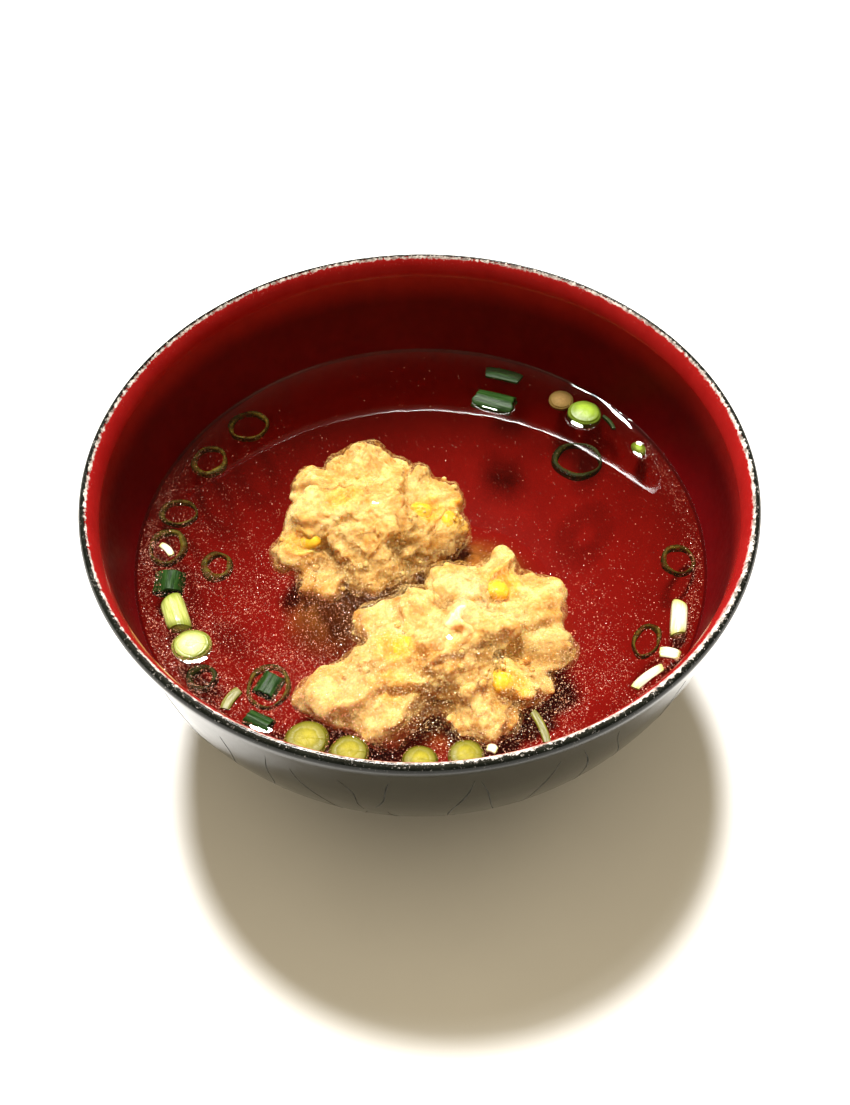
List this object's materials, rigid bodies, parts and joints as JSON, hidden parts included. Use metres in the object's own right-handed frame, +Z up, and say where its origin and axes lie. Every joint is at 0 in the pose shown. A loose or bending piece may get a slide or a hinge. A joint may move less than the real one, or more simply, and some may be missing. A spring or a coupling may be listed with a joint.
{
  "type": "bowl of chicken meatball soup",
  "caption": "Small lacquered bowl, black outside and red inside, of clear broth with rough chicken meatballs, corn and sliced green onion.",
  "frame": {"origin": "middle of the underside of the bowl's foot ring", "axes": "+Z up out of the bowl, -Y towards the front, where the camera of the picture stands, +X to its right"},
  "size_m": [0.115, 0.115, 0.062],
  "materials": {
    "lacquer": "glossy lacquer, black outside with fine dark grooves, red inside, worn pale along the rim",
    "broth": "clear golden broth with fine oil droplets",
    "mince": "moist rough minced chicken, cream to golden",
    "corn": "glossy yellow corn skin",
    "onion_white": "wet white onion layers",
    "onion_pale": "wet pale green onion, paler in the middle",
    "onion_green": "wet dark green onion leaf",
    "onion_film": "thin see-through olive onion skin"
  },
  "bodies": {
    "root": {"bowl": "lacquer", "corn_back_1": "corn", "corn_back_2": "corn", "corn_back_3": "corn", "corn_back_4": "corn", "corn_front_5": "corn", "corn_front_6": "corn", "corn_front_7": "corn", "corn_front_8": "corn", "meatball_back": "mince", "meatball_front": "mince", "onion_bit_back_right": "onion_pale", "onion_bit_front_right": "onion_white", "onion_ring_back_right": "onion_green", "onion_ring_by_slice": "onion_green", "onion_ring_far_left": "onion_film", "onion_ring_inner_left": "onion_film", "onion_ring_left": "onion_film", "onion_ring_left_back": "onion_film", "onion_ring_left_front": "onion_film", "onion_ring_lower_left": "onion_film", "onion_ring_right": "onion_film", "onion_ring_right_front": "onion_film", "onion_slice_back_bright": "onion_pale", "onion_slice_back_tan": "onion_white", "onion_slice_front_left": "onion_pale", "onion_slice_front_mid_left": "onion_pale", "onion_slice_front_middle": "onion_pale", "onion_slice_front_right": "onion_pale", "onion_slice_left": "onion_pale", "onion_sliver_back_right": "onion_green", "onion_stem_left_pale": "onion_pale", "onion_stem_right_white": "onion_white", "onion_strip_back_green": "onion_green", "onion_strip_front_right": "onion_pale", "onion_strip_in_ring": "onion_white", "onion_strip_lower_left": "onion_pale", "onion_strip_right_long": "onion_white", "onion_strip_right_white": "onion_white", "onion_tube_back_green": "onion_green", "onion_tube_in_ring": "onion_green", "onion_tube_left_green": "onion_green", "onion_tube_lower_left": "onion_green", "soup": "broth"}
  },
  "joints": []
}
